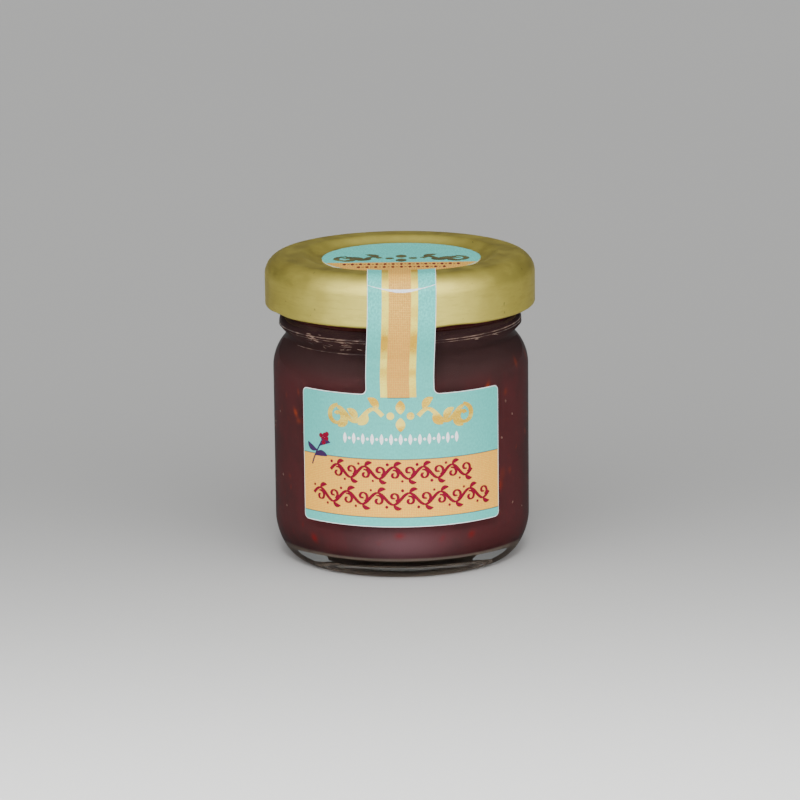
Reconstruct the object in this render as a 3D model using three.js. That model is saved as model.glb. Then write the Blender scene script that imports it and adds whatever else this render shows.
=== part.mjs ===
// Small sealed jam jar: clear glass jar, jam inside it, gold twist-off lid, and a paper
// label whose seal strip runs up over the lid to a round end on the lid's top.
// Millimetres, +Z up, origin at the centre of the base on the surface it stands on.
// The label faces -Y.

import * as THREE from 'three';

// ---- driving dimensions ---------------------------------------------------------------

const OVERALL_HEIGHT = 52.2;      // base to the lid's raised top ring
const BODY_RADIUS = 21.75;        // straight glass wall, outside
const WALL = 2.2;                 // glass wall thickness
const FLOOR_HEIGHT = 3.0;         // inside floor of the jar above the surface it stands on
const FLOOR_RADIUS = 14.2;        // flat part of the inside floor
const FLOOR_CROWN = 0.2;          // the floor rises this much to its middle
const INNER_HEEL_HEIGHT = 5.2;    // the inside's rounded lower corner
const INNER_HEEL_POWER = 1.9;

const BASE_RING_RADIUS = 17.6;    // outer edge of the flat ring that the jar stands on
const BASE_RING_WIDTH = 1.2;
const PUNT_DEPTH = 1.2;           // the underside inside that ring is slightly hollow
const PUNT_EDGE = 1.9;            // width of the hollow's rounded edge
const PUNT_EDGE_RISE = 0.95;
const PUNT_POWER = 1.6;
const HEEL_HEIGHT = 7.0;          // the rounded lower corner ends here
const HEEL_POWER = 1.73;          // fullness of the corner's superellipse

const SHOULDER_START = 32.9;      // the straight wall ends here
const SHOULDER_RADIUS = 7.6;
const GROOVE_RADIUS = 19.55;      // waist between shoulder and bead
const GROOVE_CURVE = 1.2;
const BEAD_RADIUS = 20.6;         // bead that shows under the lid
const BEAD_CURVE = 1.5;
const BEAD_TOP = 42.1;
const BEAD_END_ANGLE = 40;        // degrees: the bead turns in to the neck here
const NECK_RADIUS = 19.5;         // neck inside the lid
const MOUTH_RADIUS = 17.3;
const RIM_GAP = 0.08;             // jar rim to the lid's underside
const RIM_CURVE = 0.8;

const THREAD_COUNT = 4;
const THREAD_DEPTH = 0.9;
const THREAD_HALF_HEIGHT = 1.1;
const THREAD_LOW = 42.9;          // a thread's centre line climbs from here ...
const THREAD_HIGH = 46.6;         // ... to here
const THREAD_SWEEP = 78;          // degrees that one thread covers
const THREAD_START = -33;         // degrees from the label's middle

const LID_RADIUS = 22.95;
const LID_BOTTOM = 43.55;
const SHEET = 0.25;               // lid's sheet metal
const LID_SHOULDER = 3.35;        // radius of the lid's rounded upper edge
const LID_CURL = 0.55;            // radius of the rolled lower edge
const RING_INNER_RADIUS = 16.9;   // the raised ring ends here
const PANEL_RADIUS = 14.1;        // flat centre panel
const PANEL_DROP = 1.15;          // panel below the raised ring
const SINK_BLEND = 0.4;           // softened edges of the slope between ring and panel
const SINK_EASE = 0.15;

const LUG_COUNT = 4;              // the rolled edge is pressed inwards at the lugs
const LUG_DEPTH = 0.9;
const LUG_LIFT = 0.3;
const LUG_HALF_ANGLE = 11;        // degrees
const LUG_START = 25;             // degrees from the label's middle

const JAM_LEVEL = 47.2;           // just under the rim: the lid hides it
const JAM_GAP = 0.08;             // between the jam's solid and the glass

const PAPER = 0.14;
const PAPER_GAP = 0.06;           // between the paper and what it is stuck to
const LABEL_BOTTOM = 9.55;
const LABEL_TOP = 32.3;
const LABEL_HALF_ANGLE = 49.9;    // degrees
const LABEL_CORNER = 0.65;
const STRIP_HALF_WIDTH = 5.75;
const STRIP_FILLET = 0.9;
const STRIP_LEAVES_GLASS = 33.0;  // the strip runs straight from here to the lid's skirt
const STRIP_MEETS_LID = 44.3;
const STRIP_CREASE = 50.0;        // fold where the strip turns in over the lid
const STRIP_BEND = 1.6;           // length of the soft bends at both ends of the straight run
const STRIP_BULGE = 0.05;         // the strip stands slightly off the skirt below the fold
const STRIP_START_SHIFT = -0.2;   // the strip leans slightly to one side as it rises
const STRIP_END_SHIFT = 0.4;
const DISC_RADIUS = 13.45;        // round end on the lid's panel
const DISC_SHIFT = 0.15;

const TURN_STEPS = 56;            // facets round every turned piece

// ---- small tools ----------------------------------------------------------------------

const radians = THREE.MathUtils.degToRad;
const lerp = THREE.MathUtils.lerp;

// Points of a profile along a circular arc; angles in degrees, 0 along +r and 90 along +z.
function arc(r, z, radius, from, to, steps) {
  return Array.from({ length: steps + 1 }, (_, i) => {
    const angle = radians(lerp(from, to, i / steps));
    return [r + radius * Math.cos(angle), z + radius * Math.sin(angle)];
  });
}

// Points of a rounded corner between a level line and an upright wall: a superellipse
// from (rStart, zStart) out and up to (rStart + width, zStart + height).
function corner(rStart, zStart, width, height, power, steps) {
  return Array.from({ length: steps + 1 }, (_, i) => {
    const angle = (i / steps) * Math.PI / 2;
    return [
      rStart + width * Math.sin(angle) ** (2 / power),
      zStart + height * (1 - Math.cos(angle) ** (2 / power)),
    ];
  });
}

// A solid of revolution about Z from a profile of [radius, height] points, listed
// counter-clockwise. The first facet edge lies on -Y.
function turned(profile) {
  const points = profile.map(([r, z]) => new THREE.Vector2(r, z));
  return new THREE.LatheGeometry(points, TURN_STEPS).rotateX(Math.PI / 2);
}

// Moves each vertex of a turned solid to the cylindrical place that change() gives for
// its radius, height and angle in degrees from -Y.
function reshape(geometry, change) {
  const position = geometry.getAttribute('position');
  for (let i = 0; i < position.count; i += 1) {
    const x = position.getX(i);
    const y = position.getY(i);
    const radius = Math.hypot(x, y);
    const angle = Math.atan2(x, -y);
    const moved = change(radius, position.getZ(i), THREE.MathUtils.radToDeg(angle));
    position.setXYZ(i, moved.r * Math.sin(angle), -moved.r * Math.cos(angle), moved.z);
  }
  return geometry;
}

// Smooth bump: 1 in the middle, 0 from distance 1 outwards.
const bump = (distance) => (Math.abs(distance) < 1 ? Math.cos(distance * Math.PI / 2) ** 2 : 0);

// ---- glass jar ------------------------------------------------------------------------

// Centres of the arcs that make shoulder, groove and bead, each tangent to the next.
const shoulder = { r: BODY_RADIUS - SHOULDER_RADIUS, z: SHOULDER_START };
const groove = { r: GROOVE_RADIUS + GROOVE_CURVE };
groove.z = shoulder.z + Math.sqrt((SHOULDER_RADIUS + GROOVE_CURVE) ** 2 - (groove.r - shoulder.r) ** 2);
const bead = { r: BEAD_RADIUS - BEAD_CURVE };
bead.z = groove.z + Math.sqrt((GROOVE_CURVE + BEAD_CURVE) ** 2 - (groove.r - bead.r) ** 2);

const degreesBetween = (from, to) =>
  THREE.MathUtils.radToDeg(Math.atan2(to.z - from.z, to.r - from.r));
const shoulderEnd = degreesBetween(shoulder, groove);
const beadStart = degreesBetween(bead, groove);

const lidInsideTop = OVERALL_HEIGHT - SHEET;
const rimTop = lidInsideTop - RIM_GAP;
const innerRadius = BODY_RADIUS - WALL;

// Heights on the neck where the threads are shaped.
const NECK_ROWS = 8;
const neckRows = Array.from({ length: NECK_ROWS },
  (_, i) => lerp(BEAD_TOP, THREAD_HIGH + 1.5, i / (NECK_ROWS - 1)));

// Inside of the glass from just under the shoulder up to the mouth, drawn in smoothly.
function innerShoulder(inset, steps) {
  const start = SHOULDER_START - 0.4;
  const end = groove.z + 0.6;
  return Array.from({ length: steps + 1 }, (_, i) => {
    const t = i / steps;
    const ease = t * t * (3 - 2 * t);
    return [lerp(innerRadius, MOUTH_RADIUS, ease) - inset, lerp(start, end, t)];
  });
}

// The rounded lower corner inside the glass.
function innerHeel(inset, steps) {
  const width = innerRadius - FLOOR_RADIUS;
  const start = [FLOOR_RADIUS - inset, FLOOR_HEIGHT + inset];
  return corner(...start, width, INNER_HEEL_HEIGHT, INNER_HEEL_POWER, steps);
}

function jarProfile() {
  const ringInner = BASE_RING_RADIUS - BASE_RING_WIDTH;
  const underside = corner(ringInner, 0, -PUNT_EDGE, PUNT_EDGE_RISE, PUNT_POWER, 3).reverse();
  return [
    [0, PUNT_DEPTH],
    ...underside,
    ...corner(BASE_RING_RADIUS, 0, BODY_RADIUS - BASE_RING_RADIUS, HEEL_HEIGHT, HEEL_POWER, 7),
    ...arc(shoulder.r, shoulder.z, SHOULDER_RADIUS, 0, shoulderEnd, 5),
    ...arc(groove.r, groove.z, GROOVE_CURVE, shoulderEnd + 180, beadStart + 180, 4).slice(1),
    ...arc(bead.r, bead.z, BEAD_CURVE, beadStart, BEAD_END_ANGLE, 4).slice(1),
    ...neckRows.map((height) => [NECK_RADIUS, height]),
    ...arc(NECK_RADIUS - RIM_CURVE, rimTop - RIM_CURVE, RIM_CURVE, 0, 90, 2),
    ...arc(MOUTH_RADIUS + RIM_CURVE, rimTop - RIM_CURVE, RIM_CURVE, 90, 180, 2),
    ...innerShoulder(0, 4).reverse(),
    ...innerHeel(0, 4).reverse(),
    [0, FLOOR_HEIGHT + FLOOR_CROWN],
  ];
}

// How far a thread stands out of the neck: each thread climbs from left to right.
function threadHeight(height, angle) {
  const pitch = 360 / THREAD_COUNT;
  const along = THREE.MathUtils.euclideanModulo(angle - THREAD_START, pitch) / THREAD_SWEEP;
  if (along > 1) return 0;
  const centre = lerp(THREAD_LOW, THREAD_HIGH, along);
  const taper = Math.min(1, 8 * along, 8 * (1 - along));
  return THREAD_DEPTH * taper * bump((height - centre) / THREAD_HALF_HEIGHT);
}

function jarGeometry() {
  const onNeck = (r, z) => Math.abs(r - NECK_RADIUS) < 0.01 && z >= BEAD_TOP;
  return reshape(turned(jarProfile()), (r, z, angle) => ({
    r: onNeck(r, z) ? r + threadHeight(z, angle) : r,
    z,
  }));
}

// ---- jam ------------------------------------------------------------------------------

function jamGeometry() {
  return turned([
    [0, FLOOR_HEIGHT + FLOOR_CROWN + JAM_GAP],
    ...innerHeel(JAM_GAP, 4),
    ...innerShoulder(JAM_GAP, 4),
    [MOUTH_RADIUS - JAM_GAP, JAM_LEVEL],
    [0, JAM_LEVEL],
  ]);
}

// ---- lid ------------------------------------------------------------------------------

const panelTop = OVERALL_HEIGHT - PANEL_DROP;
const lidShoulder = { r: LID_RADIUS - LID_SHOULDER, z: OVERALL_HEIGHT - LID_SHOULDER };
const curl = { r: LID_RADIUS - LID_CURL, z: LID_BOTTOM + LID_CURL };

// The lid's top from the centre out to the skirt, lowered and drawn in by inset.
function lidTop(inset, steps) {
  return [
    [0, panelTop - inset],
    [PANEL_RADIUS - SINK_BLEND, panelTop - inset],
    [PANEL_RADIUS + SINK_BLEND, panelTop + SINK_EASE - inset],
    [RING_INNER_RADIUS - SINK_BLEND, OVERALL_HEIGHT - SINK_EASE - inset],
    [RING_INNER_RADIUS + SINK_BLEND, OVERALL_HEIGHT - inset],
    ...arc(lidShoulder.r, lidShoulder.z, LID_SHOULDER - inset, 90, 0, steps),
  ];
}

function lidProfile() {
  return [
    ...lidTop(SHEET, 5),
    [LID_RADIUS - SHEET, curl.z + LID_CURL],
    ...arc(curl.r, curl.z, LID_CURL, 135, 360, 5),
    ...lidTop(0, 6).reverse(),
  ];
}

// At each lug the rolled edge is pressed in and slightly up.
function lidGeometry() {
  return reshape(turned(lidProfile()), (r, z, angle) => {
    const pitch = 360 / LUG_COUNT;
    const offset = THREE.MathUtils.euclideanModulo(angle - LUG_START + pitch / 2, pitch) - pitch / 2;
    const inEdge = z < curl.z + LID_CURL ? bump(offset / LUG_HALF_ANGLE) : 0;
    const depth = THREE.MathUtils.clamp((LID_RADIUS - r) / (2 * LID_CURL), 0, 1);
    return { r: r - LUG_DEPTH * inEdge * depth, z: z + LUG_LIFT * inEdge * depth };
  });
}

// ---- label ----------------------------------------------------------------------------

// The middle line of the seal strip as [radius, height] points on the side that is stuck
// down: straight from the glass to the lid's skirt, up to the fold, over the lid's
// rounded edge, across the raised ring and down to the panel.
function stripPath() {
  const wall = BODY_RADIUS + PAPER_GAP;
  const skirt = LID_RADIUS + PAPER_GAP;
  const over = LID_SHOULDER + PAPER_GAP;
  const fold = { r: skirt + STRIP_BULGE, z: STRIP_CREASE };
  const toFold = Math.hypot(fold.r - lidShoulder.r, fold.z - lidShoulder.z);
  const touch = degreesBetween(lidShoulder, fold) + THREE.MathUtils.radToDeg(Math.acos(over / toFold));
  const ringTop = OVERALL_HEIGHT + PAPER_GAP;
  return [
    [wall, LABEL_TOP + STRIP_FILLET / 3],
    [wall, STRIP_LEAVES_GLASS],
    [wall + STRIP_BEND / 8, STRIP_LEAVES_GLASS + STRIP_BEND],
    [skirt, STRIP_MEETS_LID - STRIP_BEND / 2],
    [fold.r, STRIP_MEETS_LID + STRIP_BEND / 2],
    [fold.r, fold.z],
    ...arc(lidShoulder.r, lidShoulder.z, over, touch, 90, 3),
    [RING_INNER_RADIUS + SINK_BLEND, ringTop],
    [RING_INNER_RADIUS - SINK_BLEND, ringTop - SINK_EASE],
    [PANEL_RADIUS + SINK_BLEND, panelTop + PAPER_GAP + SINK_EASE],
  ];
}

// Outward normals of a path of [radius, height] points, one at each point.
function pathNormals(path) {
  return path.map((_, i) => {
    const [r0, z0] = path[Math.max(i - 1, 0)];
    const [r1, z1] = path[Math.min(i + 1, path.length - 1)];
    const length = Math.hypot(r1 - r0, z1 - z0);
    return [(z1 - z0) / length, (r0 - r1) / length];
  });
}

// A row of the sheet: the same number of points on its stuck-down and its printed side.
function wrappedRow([r, z], [nr, nz], arcPlaces) {
  const side = (offset) => arcPlaces.map((along) => {
    const angle = along / r;
    return [(r + nr * offset) * Math.sin(angle), -(r + nr * offset) * Math.cos(angle), z + nz * offset];
  });
  return { back: side(0), front: side(PAPER) };
}

function levelRow(y, z, places) {
  const side = (offset) => places.map((x) => [x, y, z + offset]);
  return { back: side(0), front: side(PAPER) };
}

// Half the label's width at a height, with its rounded corners.
function labelHalfWidth(height) {
  const toEdge = Math.min(height - LABEL_BOTTOM, LABEL_TOP - height);
  const inCorner = Math.max(0, LABEL_CORNER - toEdge);
  const cut = LABEL_CORNER - Math.sqrt(LABEL_CORNER ** 2 - inCorner ** 2);
  return radians(LABEL_HALF_ANGLE) * (BODY_RADIUS + PAPER_GAP) - cut;
}

const STRIP_COLUMNS = 8;
const SIDE_COLUMNS = 7;           // on each side of the strip
const DISC_ROWS = 17;
const DISC_END = 174;             // degrees round the disc where its last row lies

// Evenly spaced places across the strip.
function across(half, shift) {
  return Array.from({ length: STRIP_COLUMNS },
    (_, i) => shift + lerp(-half, half, i / (STRIP_COLUMNS - 1)));
}

// Rows of the rectangle on the glass, from its bottom edge to its top edge.
function rectangleRows() {
  const foot = STRIP_HALF_WIDTH + STRIP_FILLET;
  const flatEnd = labelHalfWidth(LABEL_BOTTOM);
  const sides = Array.from({ length: SIDE_COLUMNS - 1 },
    (_, i) => lerp(foot, flatEnd, (i + 1) / (SIDE_COLUMNS - 1)));
  const cornerRows = [0, LABEL_CORNER / 3, LABEL_CORNER];
  const heights = [
    ...cornerRows.map((rise) => LABEL_BOTTOM + rise),
    ...cornerRows.map((drop) => LABEL_TOP - drop).reverse(),
  ];
  return heights.map((height) => {
    const half = labelHalfWidth(height);
    const places = [
      -half, ...sides.map((side) => -side).reverse(),
      ...across(foot, STRIP_START_SHIFT),
      ...sides, half,
    ];
    return wrappedRow([BODY_RADIUS + PAPER_GAP, height], [1, 0], places);
  });
}

// Rows of the strip, from the rectangle's top edge to the lid's panel. It leans to its
// end shift by the time it reaches the fold.
function stripRows() {
  const path = stripPath();
  const normals = pathNormals(path);
  return path.map(([r, z], i) => {
    const rise = THREE.MathUtils.inverseLerp(LABEL_TOP, STRIP_CREASE, z);
    const shift = lerp(STRIP_START_SHIFT, STRIP_END_SHIFT, Math.min(1, rise));
    const flare = i === 0 ? STRIP_FILLET / 3 : 0;
    return wrappedRow([r, z], normals[i], across(STRIP_HALF_WIDTH + flare, shift));
  });
}

// Rows of the round end, flat on the panel, from the strip to the far side.
function discRows() {
  const start = THREE.MathUtils.radToDeg(Math.asin(STRIP_HALF_WIDTH / DISC_RADIUS));
  return Array.from({ length: DISC_ROWS }, (_, i) => {
    const angle = radians(lerp(start, DISC_END, i / (DISC_ROWS - 1)));
    const places = across(DISC_RADIUS * Math.sin(angle), DISC_SHIFT);
    return levelRow(-DISC_RADIUS * Math.cos(angle), panelTop + PAPER_GAP, places);
  });
}

// A closed thin solid from a sheet of quads: front and back faces, and a cut edge along
// every side that only one quad has.
function sheetSolid(front, back, quads) {
  const count = front.length;
  const triangles = quads.flatMap(([a, b, c, d]) => [[a, b, c], [a, c, d]]);
  const edges = new Map();
  for (const [a, b, c] of triangles) {
    for (const [from, to] of [[a, b], [b, c], [c, a]]) {
      if (!edges.delete(`${to} ${from}`)) edges.set(`${from} ${to}`, [from, to]);
    }
  }
  const index = [
    ...triangles.flat(),
    ...triangles.flatMap(([a, b, c]) => [a + count, c + count, b + count]),
    ...[...edges.values()].flatMap(([from, to]) => [
      from, from + count, to + count,
      from, to + count, to,
    ]),
  ];
  const geometry = new THREE.BufferGeometry();
  geometry.setAttribute('position', new THREE.Float32BufferAttribute([...front, ...back].flat(), 3));
  geometry.setIndex(index);
  return geometry;
}

function labelGeometry() {
  const front = [];
  const back = [];
  const quads = [];
  const add = (row) => {
    const first = front.length;
    front.push(...row.front);
    back.push(...row.back);
    return row.front.map((_, i) => first + i);
  };
  const join = (lower, upper) => {
    for (let i = 0; i + 1 < lower.length; i += 1) {
      quads.push([lower[i], lower[i + 1], upper[i + 1], upper[i]]);
    }
  };
  const joinAll = (rows) => rows.slice(1).forEach((row, i) => join(rows[i], row));
  const wide = rectangleRows().map(add);
  const foot = wide.at(-1).slice(SIDE_COLUMNS, SIDE_COLUMNS + STRIP_COLUMNS);
  joinAll(wide);
  joinAll([foot, ...stripRows().map(add), ...discRows().map(add)]);
  return sheetSolid(front, back, quads);
}

// ---- model ----------------------------------------------------------------------------

const GLASS = new THREE.MeshStandardMaterial({
  color: 0xcfd8d2, roughness: 0.05, metalness: 0, transparent: true, opacity: 0.35,
});
const JAM = new THREE.MeshStandardMaterial({ color: 0x4e2a2b, roughness: 0.25, metalness: 0 });
const GOLD_LACQUER = new THREE.MeshStandardMaterial({ color: 0xb9ac69, roughness: 0.38, metalness: 0.9 });
const PRINTED_PAPER = new THREE.MeshStandardMaterial({ color: 0x9bcdc8, roughness: 0.6, metalness: 0 });

function piece(name, geometry, material) {
  const mesh = new THREE.Mesh(geometry, material);
  mesh.name = name;
  return mesh;
}

const jamJar = new THREE.Group();
jamJar.add(
  piece('jar', jarGeometry(), GLASS),
  piece('jam', jamGeometry(), JAM),
  piece('lid', lidGeometry(), GOLD_LACQUER),
  piece('label', labelGeometry(), PRINTED_PAPER),
);

export default jamJar;
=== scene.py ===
# A small sealed jam jar: smooth clear glass, dark red jam against it, a satin gold
# twist-off lid, and a printed paper label whose seal strip runs up over the lid.
# Metres, +Z up, the label faces -Y. Shapes are worked out in millimetres and scaled
# when their mesh is made.
import math

import bpy
import numpy as np
from mathutils import Matrix, Vector


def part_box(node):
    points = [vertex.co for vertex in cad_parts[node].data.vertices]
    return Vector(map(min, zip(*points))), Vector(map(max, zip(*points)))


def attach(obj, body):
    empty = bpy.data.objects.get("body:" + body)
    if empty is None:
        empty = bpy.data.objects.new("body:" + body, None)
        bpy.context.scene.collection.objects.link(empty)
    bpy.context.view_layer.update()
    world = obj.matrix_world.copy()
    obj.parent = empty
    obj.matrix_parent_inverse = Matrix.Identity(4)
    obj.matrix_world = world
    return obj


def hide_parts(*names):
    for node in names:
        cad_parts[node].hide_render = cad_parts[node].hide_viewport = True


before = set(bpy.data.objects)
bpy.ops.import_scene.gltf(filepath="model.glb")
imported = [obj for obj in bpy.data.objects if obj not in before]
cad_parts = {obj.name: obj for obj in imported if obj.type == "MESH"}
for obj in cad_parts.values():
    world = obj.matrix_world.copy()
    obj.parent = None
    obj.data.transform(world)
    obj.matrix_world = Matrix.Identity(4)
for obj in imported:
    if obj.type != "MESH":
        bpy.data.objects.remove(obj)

MM = 0.001
TURN = 2 * math.pi

# ---- sizes taken from the frame (mm) ----------------------------------------------------

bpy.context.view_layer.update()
BODY_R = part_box("jar")[1].x / MM           # straight glass wall
LID_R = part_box("lid")[1].x / MM
LID_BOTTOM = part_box("lid")[0].z / MM
LID_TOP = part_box("lid")[1].z / MM          # raised ring
LABEL_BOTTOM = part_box("label")[0].z / MM + 0.15  # a little above the solid's
JAM_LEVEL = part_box("jam")[1].z / MM

# ---- glass (mm) -------------------------------------------------------------------------

WALL = 2.2
FLOOR_Z = 3.0
FLOOR_R = 14.2
BASE_RING_R = 17.6
BASE_RING_WIDTH = 1.2
PUNT_DEPTH = 2.2                           # the hollow under the glass
PUNT_CORNER, PUNT_POWER = 1.9, 1.6         # width and roundness of the hollow's edge
HEEL_Z, HEEL_POWER = 7.0, 1.73
INSIDE_HEEL, INSIDE_POWER = 5.2, 1.9       # height and roundness of the inside's corner
SHOULDER_Z = 32.9
SHOULDER_CURVE = 7.6
GROOVE_R = 19.55
GROOVE_CURVE = 1.2
BEAD_R = 20.6
BEAD_CURVE = 1.5
BEAD_TOP = 42.1
NECK_R = 19.5
NECK_FILLET = (0.55, 0.62, 0.45)           # centre, off neck and bead top, and radius
MOUTH_R = 17.3
RIM_Z = LID_TOP - 0.33
RIM_CURVE = 0.8
WAVES = ((0.035, 3, 0.21), (0.025, 7, -0.33))  # height, count round, turn in radians per mm
THREAD_PITCH = 90                          # degrees from one thread to the next
THREAD_START = -33                         # degrees from the label's middle
THREAD_SWEEP = 78
THREAD_DEPTH = 0.9
THREAD_HALF = 1.1
THREAD_LOW = 42.9
THREAD_HIGH = 46.6
SEAM_Z = 40.4                              # mould seam on the bead
SEAM_DEPTH = 0.11
SEAM_HALF = 0.16
SEAM_STEP = 0.3                            # from its ridge down to its groove
BUMP_DEPTH = 0.08                          # small bumps above the seam on the left
BUMP_RISE, BUMP_TALL = 0.45, 0.35
BUMP_ANGLE, BUMP_SPAN = -0.62, 0.42        # radians
# ridges and nicks on the neck, coloured pale as painted glints
RIDGES = (                                 # first and last degree, height and width
    (-172, 172, 40.95, 0.12), (-172, 172, 40.55, 0.08), (-62, -6, 38.5, 0.05),
)
NICKS = ((-52, -16, 39.0, 41.6, 34), (36, 50, 40.2, 40.5, 5))  # degrees, heights, count
NICK_LENGTHS = (1.5, 5)                    # degrees
NICK_SLANTS = (-0.35, 0.15)
NICK_WIDTHS = (0.05, 0.14)
RIDGE_LIFT, RIDGE_ROOT = 0.02, -0.03       # top and back of a ridge, off the glass
GLASS_STEPS = 240

# ---- jam (mm) ---------------------------------------------------------------------------

SUNK = 0.1                                 # how far the jam reaches into the glass
JAM_STEPS = 540
FRUIT_SPOTS = (                            # degrees round, height, half width and height,
    (-60.0, 26.9, 0.26, 0.5, 40, 0.9),    # tilt, strength of the plainest scraps of fruit
    (-57.5, 25.6, 0.4, 0.28, 0, 0.45),
    (45.0, 31.7, 0.26, 0.55, -25, 1.0),
    (54.0, 14.4, 0.35, 0.6, 0, 0.6),
    (55.5, 16.2, 0.5, 0.6, 0, 0.25),
    (-1.5, 7.7, 0.55, 0.35, 0, 0.5),
    (-48.5, 5.9, 0.4, 0.42, 0, 0.75),
    (35.0, 7.0, 0.42, 0.38, 0, 0.65),
)
FRUIT_COUNT = 90                           # scattered scraps, and the ranges of their values
FRUIT_RANGES = ((-180, 180), (5, 37), (0.15, 0.4), (0.15, 0.5), (-60, 60), (0.05, 0.35))
BRIGHT_FRUIT = (9, 20)                     # heights between which the scraps get brighter
HAZE, HAZE_Z = 0.75, 5.5                   # painted reflection: paler purplish jam low in front
HAZE_HALF, HAZE_TALL = 5.2, 2.4
UNDERSIDE_PAINTED_LIGHT = (3.1, 3.7)                # heights between which the jam changes colour: painted light on the shaded underside, painted shade at the shoulder
SHOULDER_PAINTED_SHADE = (31, 36)
RED_NECK = (41, 42.5)
SEED_COUNT = 70
SEED_SIZES = (0.09, 0.2)
SEED_SHAPE = (1.0, 0.7, 1.5)               # half width, depth and length, in its size
SEED_HEIGHTS = (8.5, 32)
SEED_ROWS, SEED_COLUMNS = 6, 8

# ---- lid (mm) ---------------------------------------------------------------------------

SHEET = 0.25
LID_SHOULDER = 3.35
CURL = 0.55
RING_INNER_R = 16.9
PANEL_R = 14.1
PANEL_Z = LID_TOP - 1.15
SINK_BLEND = 0.2                           # softness of the slope between ring and panel
LUG_PITCH = 90
LUG_START = 25
LUG_HALF = 11                              # degrees
LUG_DEPTH = 0.9
LUG_LIFT = 0.3
LUG_DENT = 0.06                            # pressed in at the outside too
LID_STEPS = 256

# ---- label (mm): u runs across the paper, s up along it ---------------------------------

PAPER = 0.14
PAPER_GAP = 0.06
LABEL_TOP = 32.3
LABEL_SPAN = 48.2                          # degrees round the glass from middle to side
LABEL_HALF = math.radians(LABEL_SPAN) * (BODY_R + PAPER_GAP)
LABEL_CORNER = 0.9
LABEL_SHIFT = -0.17                        # the whole label sits slightly to the left
STRIP_HALF = 5.75
STRIP_FILLET = 0.9
STRIP_LEAN = (-0.1, 0.45)                  # sideways shift at the label's top and at the fold
STRIP_LEAVES = ((34.0, 0), (36.5, 0.1), (38.8, 0.3))  # its gap to the glass, by height
STRIP_MEETS = ((43.4, 0), (44.6, 0.05))    # its gap to the lid's skirt, by height
STRIP_FREE = (31.5, 33.5, 41.5, 43.5)      # where the free stretch fades in and out
PATH_STEP = 0.05
PATH_SOFT, PATH_CRISP = 0.55, 0.16         # how far its bends are rounded, glass and lid
PATH_CHANGE = (44.8, 46.5)                 # heights between which the bends get crisp
FOLD_Z = 50.0
FOLD_RISE = 1.0                            # how far the painted highlight along the fold climbs at its sides
FOLD_HIGHLIGHT = (0.07, 0.38)                   # its width at the sides, and more in the middle
DISC_R = 13.45
BAND_LOW, BAND_HIGH = 11.35, 21.3          # the wide beige band
STRIPES_END = 31.85                        # the lower end of the strip's stripes
PEACH = (-2.15, 1.55)                      # the strip's middle stripe, left and right edge
GOLD_WIDTH = 1.15                          # the gold stripes left and right of it
DISC_SPLIT = -4.2                          # where its colour changes, from its middle
ROW_STEP = 0.125
COLUMN_STEP = 0.5
INK = 0.012                                # thickness of a printed field
KEYLINE = 0.13
PRINT_INSET = 0.12                         # from a field's side to the cut edge
EDGE_INSET, EDGE_WIDTH = 0.05, 0.09        # the white line along the cut edge
SCREEN_PITCH = 0.42                        # the dots of a printed colour
STRIP_PAINTED_LIGHT = (39, 48)                     # where along the paper the inks get paler: painted light, brighter towards the lid
FOIL_REFLECTION_BANDS = ((35.6, 36.8, 0.3), (39.3, 43.0, 0.7), (54.5, 66, 0.8))  # painted reflection bands on the foil: ends, strength
BAND_BLEND = 1.1
FLOURISH = ((0, 28.7), 12.7, 5.4)          # middle (u, s), half width, height
BEADING = ((0, 24.7), 9.6, 13, 1.9)        # middle, half width, count, height
VINES = (                                  # middle, height, half width, waves, random seed
    ((0, 19.0), 3.3, 12.4, 5, 5), ((0, 14.55), 3.3, 16.0, 6, 6),
)
SPRIG = ((-16.3, 19.4), 4.6)               # foot, height
DISC_FLOURISH = (-0.6, 11.4, 6.4)          # from the disc's middle, half width, height
DISC_ROWS = ((-5.8, 9.6, 15), (-8.3, 7.2, 11))  # from the middle, half width, count
DISC_MARK = 1.7                            # height of a small mark there

# ---- camera and light -------------------------------------------------------------------

VIEW_DISTANCE = 700 * MM
VIEW_ELEVATION = math.radians(12.8)
VIEW_TARGET = Vector((-0.21, 0, 26.47)) * MM
VIEW_ROLL = math.radians(-0.66)
LENS, SENSOR = 184.2, 36                   # mm
STAGE_HALF = 4000                          # mm
DOME_RISE = 12                             # degrees above level of the brightest part
DOME_LIGHT = (0.2, 3.25)                   # at the back, and at the brightest part
DOME_TOP, DOME_TOP_FROM = 0.38, 0.4        # more straight above, from this sine of height
MIRRORED = 0.15                            # share of dome and floor left where they are
                                           # seen as mirror images in the glass


# =========================================================================================
# Tools for shapes
# =========================================================================================


def arc(r, z, radius, start, end, steps):
    """Points (r + radius cos a, z + radius sin a) with a running from start to end degrees."""
    a = np.radians(np.linspace(start, end, steps + 1))
    return np.column_stack((r + radius * np.cos(a), z + radius * np.sin(a)))


def corner(r, z, width, height, power, steps):
    """A superellipse from (r, z), level, to (r + width, z + height), upright:
    the sine and one minus the cosine of an angle from 0 to 90, each to the power 2 / power."""
    a = np.linspace(0, math.pi / 2, steps + 1)
    return np.column_stack((
        r + width * np.sin(a) ** (2 / power),
        z + height * (1 - np.cos(a) ** (2 / power)),
    ))


def line(start, end, steps):
    """Evenly spaced points from start to end."""
    return np.linspace(start, end, steps + 1)


def blend(low, high, x):
    """0 below low, 1 above high, and a smooth rise between them."""
    t = np.clip((x - low) / (high - low), 0, 1)
    return t * t * (3 - 2 * t)


def hump(x):
    """1 at 0, falling as a squared cosine to 0 at -1 and 1 and beyond."""
    return np.where(np.abs(x) < 1, np.cos(np.clip(x, -1, 1) * math.pi / 2) ** 2, 0)


def round_axis(r, angle, z):
    """Points at radius r and height z, at an angle that is counted from -Y towards +X."""
    return np.stack((r * np.sin(angle), -r * np.cos(angle), z), -1)


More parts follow.
